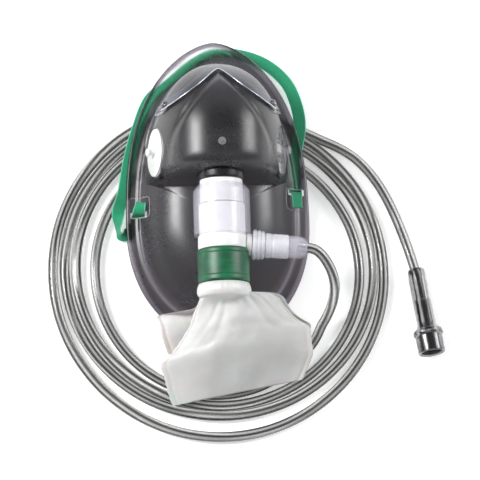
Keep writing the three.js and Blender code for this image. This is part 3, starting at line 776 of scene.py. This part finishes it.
def sweep(name, route, radius, matrix, material, closed=False, sides=10):
    """A round wire along a route of points."""
    count = len(route)
    points, faces = [], []
    for i, here in enumerate(route):
        after = route[(i + 1) % count] if closed else route[min(i + 1, count - 1)]
        along = (after - route[i - 1 if closed else max(i - 1, 0)]).normalized()
        side = along.cross(Vector((0, 0, 1))).normalized()
        up = side.cross(along)
        for s in range(sides):
            angle = 2 * math.pi * s / sides
            points.append(here + side * radius * math.cos(angle) + up * radius * math.sin(angle))
    for i in range(count if closed else count - 1):
        for s in range(sides):
            a, b = i * sides + s, i * sides + (s + 1) % sides
            c, d = (a + sides) % len(points), (b + sides) % len(points)
            faces.append((a, b, d, c))
    if not closed:
        faces.append(tuple(reversed(range(sides))))
        faces.append(tuple(range((count - 1) * sides, count * sides)))
    return make_mesh(name, points, faces, matrix, material, smooth=60)


def add_strap_frame(name, middle, half_sides, material):
    """A fine raised frame on the flange, round the end of the strap."""
    route = []
    for step in range(96):
        turn = 2 * math.pi * step / 96
        c, n = math.cos(turn), math.sin(turn)
        reach = 1 / (abs(c) ** 8 + abs(n) ** 8) ** 0.125
        x, y = middle[0] + half_sides[0] * reach * c, middle[1] + half_sides[1] * reach * n
        route.append(Vector((x, y, mask_top(x, y) + 0.12)))
    finished(sweep(name, route, 0.38, MASK, material, closed=True), "mask", "clear_vinyl")


def add_gate_mark():
    """The small nib that moulding leaves on the front of the dome."""
    place = MASK @ Matrix.Translation((0, 92, mask_top(0, 92) + 1.0)) @ Matrix.Rotation(math.pi / 2, 4, "X")
    finished(lathe("gate_mark", [
        (0, -0.6), (1.9, -0.6), (2.0, 0.1), (1.5, 0.2), (0.9, 0.12), (0.7, 0.6), (0, 0.75)],
        place, SEAT_CLEAR, radius=0.12, segments=48, closed=False), "mask", "clear_vinyl")


add_gate_mark()
add_strap_frame("strap_frame_left", (-40.6, 70.2), (5.4, 5.2), SEAT_CLEAR)
add_strap_frame("strap_frame_right", (40.6, 73.0), (5.4, 5.6), SEAT_CLEAR)


# ---- port, valve and inlet --------------------------------------------------------------------
finished(lathe("port_neck_ring", [(9.1, 64.5), (10.7, 64.5), (10.7, 84), (12, 84), (12, 85.4), (9.1, 85.4)],
               PORT, WHITE), "mask", "white_plastic", "port_neck")
finished(lathe("port_shroud", [(11.9, 48.4), (14.2, 48.4), (14.2, 70.6), (13.6, 71.6), (11.7, 74.0),
                               (11.05, 74.0), (11.05, 72.4), (11.9, 71.2)], PORT, SLEEVE_CLEAR, radius=0.5),
         "mask", "clear_sleeve", "port_sleeve")


finished(lathe("port_boss", [(10.75, 76.2), (11.3, 76.2), (11.7, 77), (12.4, 83.5), (10.75, 83.5)], PORT,
               SHELL), "mask", "clear_vinyl")


def add_housing():
    body = lathe("valve_body", [
        (8.6, 19), (10.2, 19), (10.2, 41.2), (12.2, 41.2), (12.35, 42.2), (12.3, 47.4), (11.9, 48.1),
        (11.5, 48.3), (11.5, 63.8), (9.4, 63.8), (9.4, 43.2), (8.6, 41.2)],
        PORT, WHITE, radius=0.3)
    drilling = cylinder(1.8, 7, 15, INLET, 32)
    subtract(body, [drilling])
    return body


finished(add_housing(), "valve_assembly", "white_plastic", "valve_housing")
finished(lathe("green_ring", [
    (10.5, 24.4), (12.5, 24.4), (12.9, 25.2), (12.9, 27), (12.75, 27.3), (12.9, 27.6), (12.9, 38.2),
    (12.75, 38.5), (12.9, 38.8), (12.9, 40.2), (12.6, 40.9), (10.5, 40.9)], PORT, GREEN, radius=0.25,
    segments=96), "valve_assembly", "green_plastic", "green_band")


def gathers(angle, radius, height):
    """Small pleats of film drawn in under the ring."""
    return 0.06 * math.sin(23 * angle + 0.5 * math.sin(3 * angle)) + 0.04 * math.sin(37 * angle + 1)


finished(lathe("film_collar", [
    (10.5, 17.6), (11.6, 17.2), (12.8, 17.9), (13.4, 19.3), (13.5, 20.8), (13.1, 22.6), (12.5, 24.1),
    (10.5, 24.2)], PORT, FILM, radius=0.6, segments=220, ripple=gathers),
    "valve_assembly", "bag_film", "bag_collar")


finished(lathe("inlet_tube", [
    (1.8, 11.2), (5.6, 11.6), (5.4, 14.2), (2.7, 14.4), (2.7, 24), (1.8, 24)], INLET, WHITE, segments=48),
    "valve_assembly", "white_plastic", "inlet_stem")
finished(lathe("inlet_nut", [
    (3.6, 14.6), (6.7, 14.6), (7.5, 15.0), (7.7, 15.7), (7.5, 16.4), (6.8, 16.8), (7.3, 17.1), (7.45, 17.8),
    (7.3, 18.5), (6.7, 18.9), (7.0, 19.2), (7.1, 19.8), (6.9, 20.4), (6.3, 20.8), (3.6, 20.8)],
    INLET, FROSTED, radius=0.3, segments=96), "valve_assembly", "frosted_plastic", "inlet_collar")
finished(lathe("inlet_cone", [
    (3.6, 21.0), (6.0, 21.0), (6.25, 21.6), (6.2, 23.9), (5.9, 24.2), (5.9, 24.7), (6.1, 25.0), (6.0, 32.2),
    (5.5, 32.8), (3.6, 32.8)], INLET, FROSTED, radius=0.3),
    "valve_assembly", "frosted_plastic", "inlet_barrel")
finished(lathe("inlet_cup", [
    (4.6, 33.0), (5.7, 33.0), (5.7, 36.8), (5.3, 39.4), (4.3, 41.2), (3.5, 42.0), (2.75, 42.0), (2.75, 41.2),
    (4.3, 39.6), (4.6, 38.4)], INLET, SLEEVE_CLEAR, radius=0.3),
    "valve_assembly", "clear_sleeve", "inlet_socket")


# ---- valve seats and flaps --------------------------------------------------------------------
def add_seat(name, radius, thickness, post, head, holes, matrix, material):
    """A seat disc with a raised lip, a web of holes, and the headed post of its flap."""
    post_radius, post_height = post
    top = post_height + 1.7
    profile = [(0, -thickness), (radius, -thickness), (radius, 0.0), (radius - 0.9, 0.0),
               (radius - 1.1, -0.35), (post_radius + 1.4, -0.35), (post_radius + 1.1, 0),
               (post_radius, 0.1), (post_radius, post_height), (head * 0.9, post_height),
               (head, post_height + 0.5), (head * 0.93, top - 0.5), (head * 0.55, top - 0.05), (0, top)]
    seat = lathe(name, profile, matrix, material, radius=0.25, closed=False)
    ring, hole = holes
    cutters = []
    for number in range(6):
        angle = number * math.pi / 3
        place = matrix @ Matrix.Translation((ring * math.cos(angle), 0, ring * math.sin(angle)))
        cutters.append(cylinder(hole, -4, 0.02, place, 24))
    subtract(seat, cutters)
    return seat


def add_flap(name, radius, bore, low, matrix):
    """A soft disc, thinner at its edge, with a hub ring round its post."""
    profile = [(bore, low), (radius, low), (radius, low + 0.35), (radius - 0.8, low + 0.5),
               (radius * 0.5, low + 0.6), (bore + 1.4, low + 0.6), (bore + 1.1, low + 0.72),
               (bore, low + 0.72)]
    return lathe(name, profile, matrix, SILICONE, radius=0.2, segments=96)


for side, label, material, slot_name in (
        (-1, "left", WHITE, "white_plastic"), (1, "right", SEAT_CLEAR, "clear_vinyl")):
    finished(add_seat(f"exhalation_seat_{label}", 12.4, 1.8, (1.3, 3.4), 2.1, (7.2, 2.1),
                      vent_frame(side), material),
             "mask", slot_name, f"exhalation_port_{label}")
    boss = lathe(f"exhalation_boss_{label}", [
        (12.6, -2.6), (14.1, -2.6), (13.9, -0.6), (13.4, -0.2), (12.6, -0.2)], vent_frame(side), VINYL)
    finished(boss, "mask", "clear_vinyl")
finished(add_flap("exhalation_disc", 12.2, 1.7, 0.3, vent_frame(-1)),
         "exhalation_flap", "silicone", "exhalation_flap")
seat_frame = PORT @ Matrix.Translation((0, 61, 0))
finished(add_seat("inhalation_web", 9.1, 1.5, (1.2, 2.4), 2.2, (5.6, 1.8), seat_frame, WHITE),
         "valve_assembly", "white_plastic", "inhalation_seat")
finished(add_flap("inhalation_disc", 8.5, 1.6, 0.3, seat_frame), "inhalation_flap", "silicone",
         "inhalation_flap")


# ---- nose clip --------------------------------------------------------------------------------
def add_nose_clip():
    half_span, lift, width = 29, 0.95, 5.0
    rows, uvs = [], []
    count = 120
    for step in range(count + 1):
        x = (2 * step / count - 1) * half_span
        y = 112.4 + 21.1 * math.exp(-(((math.hypot(x, 4) - 4) / 12) ** 1.1))
        rows.append((Vector((x, y, mask_top(x, y))) + mask_normal(x, y) * lift, mask_normal(x, y)))
    sections = []
    for i, (centre, normal) in enumerate(rows):
        along = (rows[min(i + 1, count)][0] - rows[max(i - 1, 0)][0]).normalized()
        across = along.cross(normal).normalized()
        face = across.cross(along)
        end = min(i, count - i) / 4
        half = width / 2 * (math.sqrt(max(0.02, 1 - (1 - end) ** 2)) if end < 1 else 1)
        section = []
        for s in range(16):
            angle = 2 * math.pi * s / 16
            c, n = math.cos(angle), math.sin(angle)
            section.append(centre + across * half * math.copysign(abs(c) ** 0.35, c)
                           + face * 0.35 * math.copysign(abs(n) ** 0.5, n))
            uvs.append((s / 16, i / count))
        sections.append(section)
    clip = ribbon("nose_strip", sections, uvs, MASK, METAL)
    finished(clip, "mask", "aluminium", "nose_clip")
    # A thin wire of the paler aluminium along one edge of the strip is a painted highlight.
    edge = []
    for i, (centre, normal) in enumerate(rows[3:-3], 3):
        along = (rows[i + 1][0] - rows[i - 1][0]).normalized()
        edge.append(centre - normal.cross(along).normalized() * (width / 2 - 0.3) + normal * 0.3)
    finished(sweep("nose_strip_highlight", edge, 0.3, MASK, ALUMINIUM_HIGHLIGHT), "mask", "aluminium")
    for side, label in ((-1, "left"), (1, "right")):
        x, y = side * 26.4, 115.2
        normal = mask_normal(x, y)
        place = MASK @ Matrix.Translation(Vector((x, y, mask_top(x, y))) + normal * 1.35) @ facing(normal)
        finished(lathe(f"clip_stud_{label}", [(0, -1.5), (1.2, -1.5), (1.2, 0), (1.9, 0.05), (1.9, 0.7),
                                              (1.2, 1.15), (0, 1.2)], place, VINYL, closed=False,
                       segments=36, radius=0.25), "mask", "clear_vinyl", f"nose_clip_stud_{label}")
        loop = []
        for step in range(60):
            turn = 2 * math.pi * step / 60
            x = side * (28.0 + 2.6 * math.cos(turn) - 1.2 * math.sin(turn))
            y = 113.6 + 1.9 * math.sin(turn)
            loop.append(Vector((x, y, mask_top(x, y))) + mask_normal(x, y) * 0.9)
        finished(sweep(f"clip_loop_{label}", loop, 0.5, MASK, SEAT_CLEAR, closed=True), "mask", "clear_vinyl")


add_nose_clip()

# ---- head strap -------------------------------------------------------------------------------
def add_strap():
    width, thickness, count, columns = 6.6, 0.6, 900, 12
    line = smooth_through(STRAP, count)
    tangents = np.gradient(line[:, :3], axis=0)
    rows, uvs = [], []
    run = 0.0
    for i in range(count):
        centre, along = Vector(line[i, :3]), Vector(tangents[i]).normalized()
        across = direction(math.radians(line[i, 3]), math.radians(line[i, 4]))
        across = (across - along * across.dot(along)).normalized()
        face = across.cross(along)
        if i:
            run += float(np.linalg.norm(line[i, :3] - line[i - 1, :3]))
        from_end = min(i, count - 1 - i)
        top, bottom = [], []
        for c in range(columns + 1):
            u = c / columns
            tooth = 0.9 * abs((u * 4) % 1 - 0.5) * 2 if from_end < 3 else 0
            slide = tooth * (1 - from_end / 3) * (1 if i < count / 2 else -1)
            edge = 1 - 0.55 * max(0, abs(2 * u - 1) - 0.86) / 0.14
            place = centre + across * (u - 0.5) * width + along * slide
            top.append((place + face * thickness / 2 * edge, (u, run / 1000)))
            bottom.append((place - face * thickness / 2 * edge, (u, run / 1000)))
        section = top + bottom[::-1]
        rows.append([p for p, _ in section])
        uvs.extend(uv for _, uv in section)
    strap = ribbon("strap_band", rows, uvs, DESIGN, ELASTIC)
    return finished(strap, "mask", "green_elastic", "head_strap")


add_strap()

# ---- reservoir bag ----------------------------------------------------------------------------
# Left edge, right edge, crown of the top over the edges, and half thickness.
BAG_FRONT = [
    (-11.2, -46.4, 39.6, 12.4, -46.4, 39.6, 0.0, 11.3),
    (-11.4, -48.8, 38.0, 15.5, -46.9, 37.5, 0.5, 10.4),
    (-13.2, -51.2, 33.0, 22.6, -45.9, 34.0, 3.0, 8.4),
    (-15.0, -54.0, 28.0, 27.2, -46.6, 29.0, 7.0, 6.4),
    (-16.8, -58.8, 23.0, 31.4, -49.8, 23.0, 12.0, 4.6),
    (-20.0, -63.5, 19.0, 35.5, -53.6, 18.5, 15.0, 3.6),
    (-23.5, -68.0, 15.5, 40.2, -56.2, 14.5, 16.5, 2.8),
    (-27.0, -71.8, 12.8, 44.6, -58.8, 12.0, 16.5, 2.3),
    (-31.4, -75.8, 10.6, 45.4, -66.0, 11.0, 14.5, 1.9),
    (-30.0, -82.5, 9.6, 45.6, -72.4, 10.4, 9.0, 1.5),
    (-28.4, -89.5, 8.8, 43.2, -78.8, 9.2, 3.8, 1.1),
    (-25.9, -96.6, 7.8, 40.0, -84.8, 7.8, 0.3, 0.5),
]
BAG_REAR = [
    (-11.6, -46.4, 36.5, 13.5, -46.0, 37.0, 0.0, 5.0),
    (-12.8, -49.4, 31.0, 21.0, -45.3, 35.2, 0.0, 3.2),
    (-15.4, -50.9, 25.5, 26.4, -45.3, 32.0, 0.0, 2.4),
    (-24.0, -51.0, 18.4, 30.4, -46.2, 27.6, 0.6, 1.8),
    (-33.0, -51.2, 12.4, 33.0, -49.2, 22.8, 1.2, 1.5),
    (-31.8, -55.8, 12.0, 36.2, -52.4, 18.8, 1.6, 1.3),
    (-31.0, -61.0, 11.6, 40.4, -54.6, 14.4, 1.6, 1.2),
    (-29.4, -66.5, 11.2, 45.4, -56.8, 9.8, 1.2, 1.0),
    (-27.8, -71.0, 10.8, 44.0, -61.0, 9.0, 0.5, 0.7),
]


def add_bag_layer(name, stations, rows_count, seed, creases):
    across = 84
    line = []
    keys = np.array(stations, float)
    padded = extended(keys)
    for row in range(rows_count):
        place = row / (rows_count - 1) * (len(keys) - 1)
        i = min(int(place), len(keys) - 2)
        line.append(between(*padded[i:i + 4], place - i))
    points, uvs = [], []
    for row, values in enumerate(line):
        left, right, crown, half = Vector(values[:3]), Vector(values[3:6]), values[6], max(values[7], 0.3)
        v = row / (rows_count - 1)
        spread = min(1.0, 3.5 * v)
        for column in range(2 * across):
            angle = math.pi * column / across
            t = (1 - math.cos(angle)) / 2
            top = column <= across
            lift = math.sin(angle)
            shape = math.sin(math.pi * t) ** 1.15
            place = left.lerp(right, t)
            if top:
                z = half * lift + crown * shape
                fan = (t - 0.5) / (0.25 + 0.75 * v)
                folds = 0
                for place_at, depth, narrow in creases:
                    folds -= depth * math.exp(-((fan - place_at) / narrow) ** 2)
                soft = noise.noise(Vector((6 * t, 5 * v, seed))) * 1.3 \
                    + noise.noise(Vector((15 * t, 9 * v, seed + 7))) * 0.45
                z += (folds * (1 - v) ** 0.7 + soft) * spread * shape
                z -= 0.5 * math.exp(-((t - 0.035) / 0.012) ** 2) * spread
                z -= 0.5 * math.exp(-((t - 0.965) / 0.012) ** 2) * spread
            else:
                z = half * lift + 0.35 * crown * shape
            frill = 0.35 * noise.noise(Vector((40 * v, seed, 3 if t < 0.5 else 9))) * spread
            outward = -1 if t < 0.5 else 1
            place.x += outward * frill * (abs(2 * t - 1) ** 6)
            points.append((place.x, place.y, place.z + z))
            uvs.append((t, v))
    columns = 2 * across
    faces = []
    for row in range(rows_count - 1):
        for column in range(columns):
            a, b = row * columns + column, row * columns + (column + 1) % columns
            faces.append((a, a + columns, b + columns, b))
    end = (rows_count - 1) * columns
    for column in range(1, across):
        a, b = end + column, end + column + 1
        faces.append((a, end + (columns - column) % columns, end + columns - column - 1, b))
    return make_mesh(name, points, faces, DESIGN, FILM, uvs, smooth=70)


def place_bag(piece, *nodes):
    bag = bmesh.new()
    bag.from_mesh(piece.data)
    bmesh.ops.recalc_face_normals(bag, faces=bag.faces)
    bag.to_mesh(piece.data)
    bag.free()
    if nodes:
        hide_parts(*nodes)
    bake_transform(piece)


place_bag(add_bag_layer("bag_front", BAG_FRONT, 130, 1.3, [
    (-0.52, 1.1, 0.06), (-0.3, 0.9, 0.05), (0.12, 0.7, 0.07), (0.34, 1.2, 0.06), (0.6, 0.8, 0.05)]),
    "reservoir_bag")
place_bag(add_bag_layer("bag_rear", BAG_REAR, 60, 5.1, [(-0.3, 0.5, 0.08), (0.3, 0.5, 0.08)]))


# ---- floor and light --------------------------------------------------------------------------
def add_floor():
    bpy.ops.mesh.primitive_plane_add(size=6)
    floor = bpy.context.object
    floor.name = "floor"
    nodes = Nodes("floor_paper", Roughness=0.8, Emission_Color=(1, 1, 1, 1), Emission_Strength=0.42)
    nodes.colour(nodes.ramp(nodes.noise(3), [(0.3, tone("f9f9f9")), (0.7, tone("fbfbfb"))]))
    floor.data.materials.append(nodes.material)


def add_light(name, place, size, power):
    data = bpy.data.lights.new(name, "AREA")
    data.shape = "RECTANGLE"
    data.size, data.size_y = size
    data.energy = power
    light = bpy.data.objects.new(name, data)
    light.location = place
    light.rotation_euler = (Vector((0.01, 0, 0.02)) - Vector(place)).to_track_quat("-Z", "Y").to_euler()
    bpy.context.scene.collection.objects.link(light)


add_floor()
add_light("key_left", (-0.95, 0.22, 0.95), (0.26, 0.5), 12)
add_light("soft_left", (-1.05, 0.3, 1.0), (0.8, 1.1), 10)
add_light("key_right", (1.1, 0.3, 0.7), (0.2, 0.5), 3)
add_light("soft_right", (1.15, 0.36, 0.8), (0.6, 0.9), 8)
world = bpy.data.worlds.new("studio")
bpy.context.scene.world = world
world.use_nodes = True
world.node_tree.nodes["Background"].inputs["Color"].default_value = (0.95, 0.97, 1.0, 1)
world.node_tree.nodes["Background"].inputs["Strength"].default_value = 0.3
bpy.context.scene.view_settings.view_transform = "Standard"
